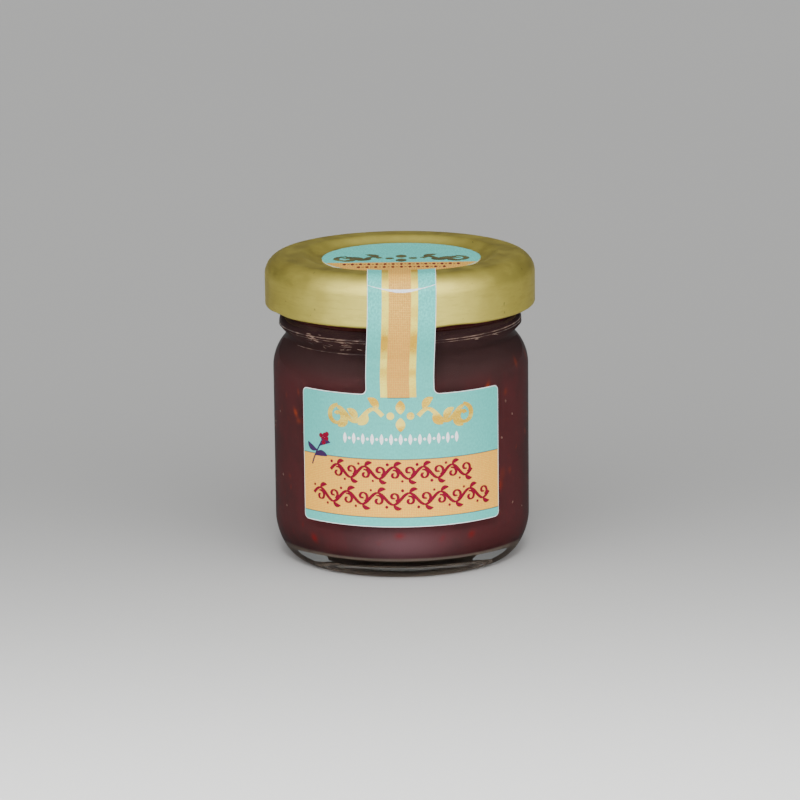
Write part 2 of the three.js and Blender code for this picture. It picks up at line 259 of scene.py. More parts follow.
def sideways(points):
    """The unit direction to the right of a polyline's way at each of its points."""
    way = np.gradient(points, axis=0)
    way /= np.hypot(*way.T)[:, None] + 1e-9
    return np.column_stack((way[:, 1], -way[:, 0]))


def smooth_line(points, step, sigma):
    """A polyline resampled every step and rounded by a Gaussian of width sigma."""
    points = np.asarray(points, float)
    length = np.concatenate(([0], np.cumsum(np.hypot(*np.diff(points, axis=0).T))))
    along = np.arange(0, length[-1], step)
    even = np.column_stack([np.interp(along, length, points[:, k]) for k in (0, 1)])
    reach = int(4 * sigma / step) + 1
    weight = np.exp(-0.5 * (np.arange(-reach, reach + 1) * step / sigma) ** 2)
    padded = np.vstack([
        even[0] - (even[reach:0:-1] - even[0]),
        even,
        even[-1] - (even[-2:-reach - 2:-1] - even[-1]),
    ])
    return np.column_stack([
        np.convolve(padded[:, k], weight / weight.sum(), mode="valid") for k in (0, 1)
    ])


def grid_faces(index, closed=False):
    """Quads between neighbouring rows and columns of a grid of vertex numbers."""
    if closed:
        index = np.hstack((index, index[:, :1]))
    corners = (index[:-1, :-1], index[:-1, 1:], index[1:, 1:], index[1:, :-1])
    return np.stack(corners, -1).reshape(-1, 4)


def slab_faces(shape):
    """Quads of a closed thin slab: a grid of this shape as its top, the same grid numbered on
    as its back, and walls along the four sides."""
    index = np.arange(shape[0] * shape[1]).reshape(shape)
    top = grid_faces(index)
    rim = np.concatenate((index[0, :-1], index[:-1, -1], index[-1, :0:-1], index[:0:-1, 0]))
    after = np.roll(rim, -1)
    walls = np.column_stack((rim, rim + index.size, after + index.size, after))
    return np.vstack((top, top[:, ::-1] + index.size, walls))


def join(parts):
    """The points and quads of several parts as one; what else a part holds is left out."""
    offset = np.cumsum([0] + [len(part[0]) for part in parts])
    points = np.vstack([part[0] for part in parts])
    return points, np.vstack([part[1] + start for part, start in zip(parts, offset)])


def piece(name, points, faces, materials, slot, indices=None, uv=None, crease=None):
    """A mesh object from points in mm. faces are quads, a repeated last corner makes a
    triangle. Edges bent by more than crease degrees stay sharp. It rides on the part.
    slot is not used."""
    mesh = bpy.data.meshes.new(name)
    points = np.asarray(points, float).reshape(-1, 3) * MM
    faces = np.asarray(faces, int)
    sizes = np.where(faces[:, 3] == faces[:, 2], 3, 4)
    keep = np.arange(4)[None, :] < sizes[:, None]
    loops = faces[keep]
    starts = np.concatenate(([0], np.cumsum(sizes)[:-1]))
    mesh.vertices.add(len(points))
    mesh.vertices.foreach_set("co", points.ravel())
    mesh.loops.add(len(loops))
    mesh.loops.foreach_set("vertex_index", loops)
    mesh.polygons.add(len(faces))
    mesh.polygons.foreach_set("loop_start", starts)
    mesh.polygons.foreach_set("loop_total", sizes)
    mesh.polygons.foreach_set("use_smooth", np.ones(len(faces), bool))
    if indices is not None:
        mesh.polygons.foreach_set("material_index", np.asarray(indices, int))
    for material in materials:
        mesh.materials.append(material)
    if uv is not None:
        layer = mesh.uv_layers.new(name="paper")
        layer.data.foreach_set("uv", np.asarray(uv, float)[loops].ravel())
    mesh.update()
    mesh.validate()
    if crease is not None:
        mesh.set_sharp_from_angle(angle=math.radians(crease))
    obj = bpy.data.objects.new(name, mesh)
    bpy.context.scene.collection.objects.link(obj)
    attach(obj, "root")
    return obj


def turned(profile, steps, change=None):
    """Points and quads of a solid turned about Z: each profile point (r, z) goes round the
    axis in equal steps. change may alter r and z by angle. The two profile ends lie on the
    axis and become single points."""
    profile = np.asarray(profile, float)
    a = np.linspace(0, TURN, steps, endpoint=False)
    r, angle = np.meshgrid(profile[1:-1, 0], a, indexing="ij")
    z = np.repeat(profile[1:-1, 1:], steps, axis=1)
    if change is not None:
        r, z = change(r, z, angle)
    rings = round_axis(r, angle, z).reshape(-1, 3)
    poles = [[0, 0, profile[0, 1]], [0, 0, profile[-1, 1]]]
    index = np.arange(len(rings)).reshape(r.shape)
    first, last = np.full(steps, len(rings)), np.full(steps, len(rings) + 1)
    around = np.roll(np.arange(steps), -1)
    start = np.column_stack((index[0, around], index[0], first, first))
    end = np.column_stack((index[-1], index[-1, around], last, last))
    return np.vstack((rings, poles)), np.vstack((start, grid_faces(index, closed=True), end))


# =========================================================================================
# Tools for materials
# =========================================================================================


class Nodes:
    """Short ways to add nodes to the tree of a material or of the world."""

    def __init__(self, tree):
        """Nodes and links go to this tree."""
        self.nodes = tree.nodes
        self.links = tree.links

    def node(self, kind, settings=None, **inputs):
        """A node; inputs named by socket are linked where they are sockets, else set."""
        made = self.nodes.new(kind)
        for key, value in (settings or {}).items():
            setattr(made, key, value)
        for key, value in inputs.items():
            socket = made.inputs[int(key[1:]) if key[1:].isdigit() else key.replace("_", " ")]
            if isinstance(value, bpy.types.NodeSocket):
                self.links.new(value, socket)
            else:
                socket.default_value = value
        return made

    def spread(self, value, low, high, to_low=0.0, to_high=1.0):
        """value taken smoothly from low..high to to_low..to_high, and held there."""
        made = self.node("ShaderNodeMapRange", {"interpolation_type": "SMOOTHSTEP"}, Value=value,
                         From_Min=low, From_Max=high, To_Min=to_low, To_Max=to_high)
        return made.outputs["Result"]

    def math(self, operation, a, b=0.0):
        """One step of arithmetic."""
        return self.node("ShaderNodeMath", {"operation": operation}, _0=a, _1=b).outputs[0]

    def along(self, vector, axis):
        """The vector's part along X, Y or Z."""
        return self.node("ShaderNodeSeparateXYZ", Vector=vector).outputs[axis]

    def mirror_share(self):
        """What a polarising filter on the lens leaves: MIRRORED where a thing is seen as a
        mirror image in the glass, and 1 everywhere else."""
        path = self.node("ShaderNodeLightPath").outputs
        mirror = self.math("MULTIPLY", path["Is Singular Ray"], path["Is Reflection Ray"])
        share = self.node("ShaderNodeMapRange", Value=mirror, To_Min=1.0, To_Max=MIRRORED)
        return share.outputs["Result"]


class Finish(Nodes):
    """A material with one Principled shader. Constants go on the shader's own sockets."""

    def __init__(self, name, **sockets):
        """Makes the material and sets the shader's sockets that are given by name."""
        self.material = bpy.data.materials.new(name)
        self.material.use_nodes = True
        super().__init__(self.material.node_tree)
        self.shader = self.nodes["Principled BSDF"]
        for socket, value in sockets.items():
            self.shader.inputs[socket.replace("_", " ")].default_value = value

    def place(self):
        """Object coordinates, in metres."""
        return self.node("ShaderNodeTexCoord").outputs["Object"]

    def paper_place(self):
        """The paper's own coordinates, in mm across and along."""
        return self.node("ShaderNodeUVMap", {"uv_map": "paper"}).outputs["UV"]

    def stretched(self, vector, scale):
        """The vector with each part multiplied."""
        return self.node("ShaderNodeMapping", Vector=vector, Scale=scale).outputs["Vector"]

    def noise(self, vector, scale, detail=3, roughness=0.5):
        """Cloudy noise from 0 to 1."""
        made = self.node("ShaderNodeTexNoise", Vector=vector, Scale=scale, Detail=detail,
                         Roughness=roughness)
        return made.outputs["Fac"]

    def mix(self, amount, a, b):
        """Colour a where amount is 0, colour b where it is 1."""
        return self.node("ShaderNodeMix", {"data_type": "RGBA"}, _0=amount, _6=a, _7=b).outputs[2]

    def bump(self, height, strength, distance, normal=None):
        """A surface normal tilted by the slopes of height, over another normal if given."""
        made = self.node("ShaderNodeBump", Height=height, Strength=strength, Distance=distance * MM)
        if normal is not None:
            self.links.new(normal, made.inputs["Normal"])
        return made.outputs["Normal"]

    def set(self, **sockets):
        """Links values to the shader's sockets and gives the finished material."""
        for socket, value in sockets.items():
            self.links.new(value, self.shader.inputs[socket.replace("_", " ")])
        return self.material


def rgb(red, green, blue):
    """A colour given as it is seen (0 to 255), as the linear numbers that a shader takes."""
    seen = np.array((red, green, blue)) / 255
    linear = np.where(seen <= 0.04045, seen / 12.92, ((seen + 0.055) / 1.055) ** 2.4)
    return (*linear.tolist(), 1.0)


def shade(colour, factor):
    """A colour made darker or paler by a factor, no paler than 0.95."""
    return (*(min(c * factor, 0.95) for c in colour[:3]), 1.0)


def per_mm(count):
    """A texture scale that gives count features per millimetre on Object coordinates."""
    return count / MM


def clear_glass():
    """Smooth clear glass of a low index whose mirror images are weak, with a faint swell."""
    f = Finish("clear_glass", Base_Color=rgb(250, 252, 250), Roughness=0.0, IOR=1.3,
               Transmission_Weight=1.0, Specular_Tint=(0.2, 0.2, 0.2, 1.0))
    swell = f.noise(f.place(), per_mm(0.12), detail=1)
    return f.set(Normal=f.bump(swell, 0.25, 0.25))


def painted_glint_glass():
    """Rough glass along the mould's lines, coloured a pale brownish grey as painted glints of light."""
    f = Finish("painted_glint_glass", Roughness=0.4)
    cloud = f.noise(f.place(), per_mm(0.8), detail=3)
    return f.set(Base_Color=f.mix(f.spread(cloud, 0.4, 0.62), rgb(58, 34, 30), rgb(150, 122, 106)))


def dark_jam():
    """Thick dark red jam: redder and darker clouds, a fine grain of pulp, painted shade that
    makes it darker and browner at the shoulder, a painted reflection that makes it paler
    low down in front, painted light that turns it brownish grey where it lies on the glass
    floor, and scraps of fruit that glow orange-red against the glass."""
    f = Finish("dark_jam", Roughness=0.6, Specular_IOR_Level=0.0)
    clouds = f.noise(f.stretched(f.place(), (1, 1, 0.7)), per_mm(0.1), detail=4, roughness=0.6)
    pulp = f.noise(f.place(), per_mm(0.8), detail=3, roughness=0.6)
    glow, painted_haze = (f.node("ShaderNodeAttribute", {"attribute_name": name}).outputs["Fac"]
                  for name in ("glow", "painted_haze"))
    body = f.mix(f.spread(clouds, 0.36, 0.6), rgb(80, 49, 50), rgb(92, 49, 51))
    body = f.mix(f.spread(pulp, 0.56, 0.75, 0.0, 0.3), body, rgb(106, 50, 50))
    # painted reflection: paler purplish jam low in front
    body = f.mix(painted_haze, body, rgb(124, 87, 94))
    height = f.along(f.place(), "Z")

    def above(low, high):
        """0 under the height low and 1 over the height high, in mm."""
        return f.spread(height, low * MM, high * MM)

    # painted shade: darker, greyer jam at the shoulder
    body = f.mix(above(*SHOULDER_PAINTED_SHADE), body, rgb(68, 48, 48))
    body = f.mix(above(*RED_NECK), body, rgb(88, 40, 38))
    # painted light: a pale brownish grey on the jam's shaded underside
    body = f.mix(above(*UNDERSIDE_PAINTED_LIGHT), rgb(176, 156, 142), body)
    fruit = f.mix(above(*BRIGHT_FRUIT), rgb(150, 30, 30), rgb(176, 72, 38))
    body = f.mix(glow, body, fruit)
    return f.set(Base_Color=body, Normal=f.bump(pulp, 0.3, 0.1))


def gold_lacquer():
    """Satin gold lacquer over tinplate: faint mottling, fine level streaks of wear, fine
    grain and a few small dark specks."""
    f = Finish("gold_lacquer", Metallic=1.0, Specular_Tint=(0.28, 0.27, 0.4, 1.0), Coat_Weight=0.3,
               Coat_Roughness=0.45)
    mottle = f.noise(f.place(), per_mm(0.25), detail=4, roughness=0.6)
    streak = f.noise(f.stretched(f.place(), (0.16, 0.16, 1)), per_mm(1.6), detail=4, roughness=0.7)
    grain = f.noise(f.place(), per_mm(9), detail=2)
    speck = f.noise(f.place(), per_mm(1.3), detail=0)
    colour = f.mix(f.spread(mottle, 0.3, 0.7), rgb(216, 200, 94), rgb(224, 210, 103))
    colour = f.mix(f.spread(streak, 0.45, 0.75, 0.0, 0.5), colour, rgb(198, 179, 83))
    colour = f.mix(f.spread(speck, 0.84, 0.88, 0.0, 0.45), colour, rgb(104, 88, 50))
    worn = f.spread(streak, 0.4, 0.7, 0.0, 0.06)
    rough = f.math("ADD", f.spread(mottle, 0.3, 0.7, 0.38, 0.45), worn)
    relief = None
    for cloud, strength, distance in ((mottle, 0.2, 0.12), (streak, 0.15, 0.05), (grain, 0.12, 0.03)):
        relief = f.bump(cloud, strength, distance, relief)
    return f.set(Base_Color=colour, Roughness=rough, Normal=relief)


def printed_paper(name, colour, dots=None):
    """Coated label paper: fibre grain, a slight unevenness of the ink, painted light that makes
    the ink paler up the seal strip towards the lid, and where dots is given a fine screen of
    that colour set at 45 degrees."""
    f = Finish(name, Roughness=0.5, Coat_Weight=0.2, Coat_Roughness=0.25, Specular_IOR_Level=0.2)
    place = f.paper_place()
    fibre = f.noise(f.stretched(place, (1.0, 0.6, 1.0)), 3.5, detail=4, roughness=0.65)
    cloud = f.noise(place, 0.35, detail=2)
    darker = shade(colour, 0.78)
    # painted light: the ink paler up the seal strip, towards the lid
    ink = f.mix(f.spread(f.along(place, "Y"), *STRIP_PAINTED_LIGHT), colour, shade(colour, 1.4))
    ink = f.mix(f.spread(fibre, 0.32, 0.68, 0.0, 0.8), ink, darker)
    ink = f.mix(f.spread(cloud, 0.3, 0.7, 0.0, 0.2), ink, darker)
    if dots is not None:
        scale = TURN / SCREEN_PITCH
        screen = f.node("ShaderNodeMapping", Vector=place, Rotation=(0, 0, math.radians(45)),
                        Scale=(scale, scale, 1)).outputs["Vector"]
        waves = [f.math("SINE", f.along(screen, axis)) for axis in ("X", "Y")]
        ink = f.mix(f.spread(f.math("MULTIPLY", *waves), 0.1, 0.4), ink, dots)
    return f.set(Base_Color=ink, Normal=f.bump(fibre, 0.25, 0.02))


def plain_paper():
    """The label's own white stock, seen at its cut edge and back."""
    f = Finish("label_stock", Roughness=0.7)
    fibre = f.noise(f.place(), per_mm(3), detail=3)
    return f.set(Base_Color=f.mix(fibre, rgb(240, 240, 235), rgb(222, 224, 220)))


def gold_ink(name, pale, deep, rough, bands=()):
    """Printed metallic gold: pale and deep grains of foil, and painted reflections as deeper
    bands given by their two ends along the paper and their strength."""
    f = Finish(name, Metallic=0.8, Coat_Weight=0.1, Coat_Roughness=0.2, Specular_IOR_Level=0.2)
    place = f.paper_place()
    grain = f.noise(place, 4, detail=3)
    wave = f.noise(f.stretched(place, (0.1, 0.3, 1)), 1, detail=2)
    clouds = f.math("ADD", f.math("MULTIPLY", grain, 0.4), wave)
    depth = f.spread(clouds, 0.58, 0.82, 0.0, 0.45 if bands else 1.0)
    height = f.along(place, "Y")
    # painted reflections: deeper bands along the paper
    for low, high, strength in bands:
        rise, fall = (f.spread(height, end - BAND_BLEND, end + BAND_BLEND, 0.0, strength)
                      for end in (low, high))
        depth = f.math("ADD", depth, f.math("SUBTRACT", rise, fall))
    return f.set(Base_Color=f.mix(depth, pale, deep), Normal=f.bump(grain, 0.25, 0.02),
                 Roughness=f.spread(grain, 0.3, 0.7, rough, rough + 0.12))


def flat_ink(name, colour, roughness=0.5):
    """One ink colour, slightly uneven as it lies on the fibres."""
    f = Finish(name, Roughness=roughness, Specular_IOR_Level=0.1)
    grain = f.noise(f.paper_place(), 5, detail=3)
    return f.set(Base_Color=f.mix(f.spread(grain, 0.35, 0.7), colour, shade(colour, 0.8)))


def seed_skin():
    """Small pale seeds, each part of them a little lighter or darker."""
    f = Finish("seed_skin", Roughness=0.4)
    cloud = f.noise(f.place(), per_mm(1.5), detail=2)
    return f.set(Base_Color=f.mix(f.spread(cloud, 0.35, 0.65), rgb(128, 86, 74), rgb(160, 120, 100)))


def pale_floor():
    """Matt pale grey with faint clouds, dimmed in its mirror images in the glass."""
    f = Finish("pale_floor", Roughness=0.8, Specular_IOR_Level=0.1)
    cloud = f.noise(f.place(), 3.0, detail=2)
    pale = f.mix(cloud, rgb(172, 172, 171), rgb(168, 168, 167))
    return f.set(Base_Color=f.mix(f.mirror_share(), (0, 0, 0, 1), pale))


# =========================================================================================
# Glass and jam
# =========================================================================================


def stacked(centre, radius, r, curve):
    """The centre, at distance r from the axis, of a round of radius curve that touches the
    round of the given centre and radius from above. Its height follows from Pythagoras."""
    return r, centre[1] + math.sqrt((radius + curve) ** 2 - (r - centre[0]) ** 2)


SHOULDER = (BODY_R - SHOULDER_CURVE, SHOULDER_Z)
GROOVE = stacked(SHOULDER, SHOULDER_CURVE, GROOVE_R + GROOVE_CURVE, GROOVE_CURVE)
BEAD = stacked(GROOVE, GROOVE_CURVE, BEAD_R - BEAD_CURVE, BEAD_CURVE)
INNER_R = BODY_R - WALL


def heading(start, end):
    """Direction from start to end, in degrees."""
    return math.degrees(math.atan2(end[1] - start[1], end[0] - start[0]))


def inside_profile(grow):
    """The glass's inside from its floor's middle up to the mouth: a level floor, a
    superellipse corner, an upright wall and a smooth step in to the neck. It is moved
    outwards by grow."""
    heel = corner(FLOOR_R + grow, FLOOR_Z - grow, INNER_R - FLOOR_R, INSIDE_HEEL, INSIDE_POWER, 16)
    t = np.linspace(0, 1, 25)
    step_in = (MOUTH_R - INNER_R) * blend(0, 1, t)
    low, high = SHOULDER_Z - 0.4, GROOVE[1] + 0.6
    shoulder = np.column_stack((INNER_R + grow + step_in, low + (high - low) * t))
    return np.vstack((
        [[0, FLOOR_Z + 0.2 - grow]],
        line((1, FLOOR_Z + 0.2 - grow), (FLOOR_R - 1 + grow, FLOOR_Z + 0.02 - grow), 6),
        heel,
        line(heel[-1], shoulder[0], 60)[1:-1],
        shoulder,
    ))


def jar_profile():
    """The outline of the glass, counter-clockwise from the middle of its underside."""
    ring_inner = BASE_RING_R - BASE_RING_WIDTH
    out = heading(SHOULDER, GROOVE)
    back = heading(BEAD, GROOVE)
    off_neck, off_bead, fillet = NECK_FILLET
    return np.vstack((
        [[0, PUNT_DEPTH]],
        line((1, PUNT_DEPTH), (ring_inner - 2.5, PUNT_DEPTH - 0.1), 5),
        corner(ring_inner, 0, -PUNT_CORNER, PUNT_DEPTH - 0.25, PUNT_POWER, 8)[::-1],
        line((ring_inner + 0.2, 0), (BASE_RING_R - 0.2, 0), 3),
        corner(BASE_RING_R, 0, BODY_R - BASE_RING_R, HEEL_Z, HEEL_POWER, 28),
        line((BODY_R, HEEL_Z + 0.8), (BODY_R, SHOULDER_Z - 0.8), 26),
        arc(*SHOULDER, SHOULDER_CURVE, 0, out, 20),
        arc(*GROOVE, GROOVE_CURVE, out + 180, back + 180, 14)[1:],
        arc(*BEAD, BEAD_CURVE, back, 75, 44)[1:],
        arc(NECK_R + off_neck, BEAD_TOP + off_bead, fillet, 250, 185, 5),
        line((NECK_R, BEAD_TOP + 0.9), (NECK_R, THREAD_HIGH + 1.6), 34),
        arc(NECK_R - RIM_CURVE, RIM_Z - RIM_CURVE, RIM_CURVE, 0, 90, 8),
        arc(MOUTH_R + RIM_CURVE, RIM_Z - RIM_CURVE, RIM_CURVE, 90, 180, 8),
        inside_profile(0)[::-1],
    ))


def thread_height(z, angle):
    """How far a thread stands out of the neck: a ridge of squared-cosine section whose
    middle climbs evenly with the angle, and which fades out at its two ends."""
    along = ((np.degrees(angle) - THREAD_START) % THREAD_PITCH) / THREAD_SWEEP
    middle = THREAD_LOW + (THREAD_HIGH - THREAD_LOW) * along
    fade = np.clip(np.minimum(8 * along, 8 * (1 - along)), 0, 1)
    return THREAD_DEPTH * fade * hump((z - middle) / THREAD_HALF)


def mould_line(z, angle):
    """The seam of the mould round the bead: a fine ridge with a fine groove under it, both
    a little uneven by angle, and on the left a run of small bumps above them."""
    uneven = 1 + 0.35 * np.sin(5 * angle + 1) + 0.25 * np.sin(11 * angle)
    up = z - SEAM_Z
    seam = hump(up / SEAM_HALF) - 0.8 * hump((up + SEAM_STEP) / SEAM_HALF)
    bumps = np.clip(np.sin(61 * angle) + np.sin(37 * angle + 2), 0, 2)
    bumps = bumps * hump((angle - TURN - BUMP_ANGLE) / BUMP_SPAN) * hump((up - BUMP_RISE) / BUMP_TALL)
    return SEAM_DEPTH * uneven * seam + BUMP_DEPTH * bumps


def glass_shape(r, z, angle):
    """Adds the threads to the neck, the mould's seam to the bead, and to the wall the slight
    waves of moulded glass."""
    on_neck = (np.abs(r - NECK_R) < 0.3) & (z > BEAD_TOP + 0.3) & (z < THREAD_HIGH + 1.7)
    inside = (r < INNER_R + 0.05) & (z > FLOOR_Z) & (z < SHOULDER_Z + 8)
    wave = sum(height * np.sin(count * angle + slant * z) for height, count, slant in WAVES)
    on_bead = (r > NECK_R + 0.3) & (np.abs(z - BEAD[1]) < BEAD_CURVE)
    out = on_neck * thread_height(z, angle) + on_bead * mould_line(z, angle)
    return r + out + inside * (r / INNER_R) * wave, z


def make_jar():
    """The glass, turned from its outline."""
    points, faces = turned(jar_profile(), GLASS_STEPS, glass_shape)
    jar = piece("jar_glass", points, faces, [clear_glass()], "clear_glass")
    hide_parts("jar")


def neck_lines():
    """First and last degree, height at both, and width of each ridge and nick. The nicks lie
    at random in their ranges and slant a little."""
    random = np.random.default_rng(31)
    lines = [(first, last, z, z, width) for first, last, z, width in RIDGES]
    for first, last, low, high, count in NICKS:
        for angle in random.uniform(first, last, count):
            length = random.uniform(*NICK_LENGTHS)
            z = random.uniform(low, high)
            end_z = z + random.uniform(*NICK_SLANTS)
            lines.append((angle, angle + length, z, end_z, random.uniform(*NICK_WIDTHS)))
    return lines


def neck_ridge(first, last, low, high, width, outline):
    """One ridge as a thin closed slab on the outline of the neck. Its middle runs evenly
    from low to high plus two sine waves. Its half width tapers to the ends as the root of a
    parabola, is uneven as a sum of sines, and is less in front."""
    t = np.linspace(0, 1, max(6, int(abs(last - first) / 0.6)))
    angle = np.radians(first + (last - first) * t)
    bluntness = 1 if last - first < 20 else 20
    taper = np.sqrt(np.clip(4 * t * (1 - t) * bluntness, 0, 1))
    uneven = 1 + 0.45 * np.sin(17 * angle) * np.sin(5.3 * angle + 1) + 0.3 * np.sin(41 * angle + low)
    in_front = 1 - 0.5 * hump((angle - 0.35) / 0.5)
    half = 0.5 * width * taper * np.clip(uneven, 0.1, 2) * in_front
    middle = low + (high - low) * t + 0.05 * np.sin(3 * angle + low) + 0.25 * np.sin(angle)
    z = np.stack((middle - half, middle, middle + half), 1)
    r = np.interp(z, outline[:, 1], outline[:, 0])
    sides = [round_axis(r + lift, angle[:, None], z).reshape(-1, 3) for lift in (RIDGE_LIFT, RIDGE_ROOT)]
    return np.vstack(sides), slab_faces(z.shape)


def make_neck_ridges():
    """Fine rough ridges of the mould on the neck, coloured pale as painted glints of light: two
    uneven lines round the bead, one in the groove under it, and short slanting nicks, most of
    them on the left."""
    outline = jar_profile()
    r, z = outline.T
    neck = outline[(r > GROOVE_R - 0.01) & (z > SHOULDER_Z) & (z < BEAD[1] + 1.4)]
    points, faces = join([neck_ridge(*values, neck) for values in neck_lines()])
    piece("neck_ridges", points, faces, [painted_glint_glass()], "clear_glass", crease=50)


def fruit_glow(points):
    """How much each point of the jam glows: the sum of soft ovals, each a Gaussian of the
    distance sideways and up along the wall, turned by its tilt; at most 1."""
    random = np.random.default_rng(11)
    scattered = [random.uniform(low, high, FRUIT_COUNT) for low, high in FRUIT_RANGES]
    around = np.degrees(np.arctan2(points[:, 0], -points[:, 1]))
    glow = np.zeros(len(points))
    for angle, height, wide, tall, tilt, strength in (*FRUIT_SPOTS, *np.transpose(scattered)):
        across = np.radians((around - angle + 180) % 360 - 180) * INNER_R
        up = points[:, 2] - height
        c, s = math.cos(math.radians(tilt)), math.sin(math.radians(tilt))
        oval = ((across * c + up * s) / wide) ** 2 + ((up * c - across * s) / tall) ** 2
        glow += strength * np.exp(-0.5 * oval)
    return np.clip(glow, 0, 1)


def make_jam():
    """The jam fills the glass and reaches just into its wall, so that no air shows. Its painted
    reflection, a paler patch, is a Gaussian oval on the wall in front."""
    profile = np.vstack((
        inside_profile(SUNK),
        line((MOUTH_R + SUNK, GROOVE[1] + 1.4), (MOUTH_R + SUNK, JAM_LEVEL - 0.4), 8),
        arc(MOUTH_R - 0.3, JAM_LEVEL - 0.4, 0.4, 0, 90, 4),
        line((MOUTH_R - 1.2, JAM_LEVEL - 0.05), (1, JAM_LEVEL - 0.25), 6),
        [[0, JAM_LEVEL - 0.25]],
    ))
    points, faces = turned(profile, JAM_STEPS, glass_shape)
    jam = piece("jam_fill", points, faces, [dark_jam()], "jam")
    # painted reflection on the jam: a Gaussian oval low in front
    across = INNER_R * np.arctan2(points[:, 0], -points[:, 1]) / HAZE_HALF
    up = (points[:, 2] - HAZE_Z) / HAZE_TALL
    painted_haze = HAZE * np.exp(-0.5 * (across ** 2 + up ** 2))
    for name, values in (("glow", fruit_glow(points)), ("painted_haze", painted_haze)):
        layer = jam.data.attributes.new(name, "FLOAT", "POINT")
        layer.data.foreach_set("value", values)
    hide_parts("jam")


def make_seeds():
    """Small pale seeds half sunk in the jam's face against the glass: each a stretched ball
    of a few rows of points, laid flat on the wall and turned at random."""
    random = np.random.default_rng(23)
    lat = np.radians(np.linspace(-90, 90, SEED_ROWS))[:, None]
    lon = np.linspace(0, TURN, SEED_COLUMNS, endpoint=False)[None, :]
    ball = np.stack((np.cos(lat) * np.cos(lon), np.cos(lat) * np.sin(lon), np.sin(lat) + 0 * lon), -1)
    index = np.arange(SEED_ROWS * SEED_COLUMNS).reshape(SEED_ROWS, SEED_COLUMNS)
    shape = ball * random.uniform(*SEED_SIZES, (SEED_COUNT, 1, 1, 1)) * SEED_SHAPE
    turn, angle = (random.uniform(0, TURN, (SEED_COUNT, 1, 1)) for _ in range(2))
    z = random.uniform(*SEED_HEIGHTS, (SEED_COUNT, 1, 1))
    across = shape[..., 0] * np.cos(turn) - shape[..., 2] * np.sin(turn)
    z = z + shape[..., 0] * np.sin(turn) + shape[..., 2] * np.cos(turn)
    r = glass_shape(INNER_R + SUNK + shape[..., 1], z, angle)[0]
    points = round_axis(r, angle + across / INNER_R, z)
    faces = grid_faces(index, closed=True) + index.size * np.arange(SEED_COUNT)[:, None, None]
    piece("jam_seeds", points, faces.reshape(-1, 4), [seed_skin()], "jam")


# =========================================================================================
# Lid
# =========================================================================================


def lid_top(inset, steps):
    """The lid's top from its middle out to the skirt, drawn in by inset: the level panel,
    a smooth slope up to the raised ring, and the rounded edge."""
    slope = np.linspace(PANEL_R - 1, LID_R - LID_SHOULDER, 34)[:-1]
    r = np.concatenate(([0], np.linspace(2, PANEL_R - 1.2, 8), slope))
    rise = blend(PANEL_R - SINK_BLEND, RING_INNER_R + SINK_BLEND, r)
    z = PANEL_Z + (LID_TOP - PANEL_Z) * rise - inset
    edge = arc(LID_R - LID_SHOULDER, LID_TOP - LID_SHOULDER, LID_SHOULDER - inset, 90, 0, steps)
    return np.vstack((np.column_stack((r, z)), edge))


def lid_profile():
    """The outline of the sheet metal, counter-clockwise from the middle of its underside,
    with a rolled lower edge."""
    roll = (LID_R - CURL, LID_BOTTOM + CURL)
    inner = LID_R - SHEET
    return np.vstack((
        lid_top(SHEET, 18),
        line((inner, LID_TOP - LID_SHOULDER - 0.5), (inner, roll[1] + CURL + 0.3), 10),
        arc(*roll, CURL, 120, 360, 20),
        line((LID_R, roll[1] + 0.3), (LID_R, LID_TOP - LID_SHOULDER - 0.3), 12),
        lid_top(0, 22)[::-1],
    ))


def lid_shape(r, z, angle):
    """Presses the rolled edge in and slightly up at the lugs."""
    off = (np.degrees(angle) - LUG_START + LUG_PITCH / 2) % LUG_PITCH - LUG_PITCH / 2
    low = 1 - blend(LID_BOTTOM + CURL, LID_BOTTOM + 2.6 * CURL, z)
    press = hump(off / LUG_HALF) * low * (r > LID_R - 3 * CURL)
    depth = np.clip((LID_R - r) / (2 * CURL), 0, 1)
    return r - press * (LUG_DEPTH * depth + LUG_DENT), z + LUG_LIFT * press * depth


def make_lid():
    """The sheet metal, turned from its outline."""
    points, faces = turned(lid_profile(), LID_STEPS, lid_shape)
    lid = piece("lid_cap", points, faces, [gold_lacquer()], "gold_lacquer")
    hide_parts("lid")


# =========================================================================================
# Label
# =========================================================================================

DISC_Z = PANEL_Z + PAPER_GAP


def strip_path():
    """The label's middle line as (r, z): up the glass, out to the lid's skirt, up to the
    fold, over the rounded edge and the raised ring, down to the panel and across it."""
    wall = BODY_R + PAPER_GAP
    skirt = LID_R + PAPER_GAP
    edge = (LID_R - LID_SHOULDER, LID_TOP - LID_SHOULDER)
    over = LID_SHOULDER + PAPER_GAP
    fold = (skirt + STRIP_MEETS[-1][1], FOLD_Z)
    reach = math.hypot(fold[0] - edge[0], fold[1] - edge[1])
    touch = heading(edge, fold) + math.degrees(math.acos(over / reach))
    top = lid_top(0, 2)
    ring = top[(top[:, 0] < LID_R - LID_SHOULDER - 0.3) & (top[:, 0] > PANEL_R - 1)][::-1]
    points = np.vstack((
        [[wall, LABEL_BOTTOM]],
        [[wall + gap, height] for height, gap in STRIP_LEAVES],
        [[skirt + gap, height] for height, gap in STRIP_MEETS],
        [fold],
        arc(*edge, over, touch, 90, 12),
        ring + (0, PAPER_GAP),
        [[DISC_R - 1.2, DISC_Z], [0, DISC_Z], [-DISC_R, DISC_Z]],
    ))
    soft, crisp = (smooth_line(points, PATH_STEP, sigma) for sigma in (PATH_SOFT, PATH_CRISP))
    near_lid = blend(*PATH_CHANGE, crisp[:, 1:])
    near_lid[crisp[:, 0] < LID_R - 1] = 1
    return soft * (1 - near_lid) + crisp * near_lid


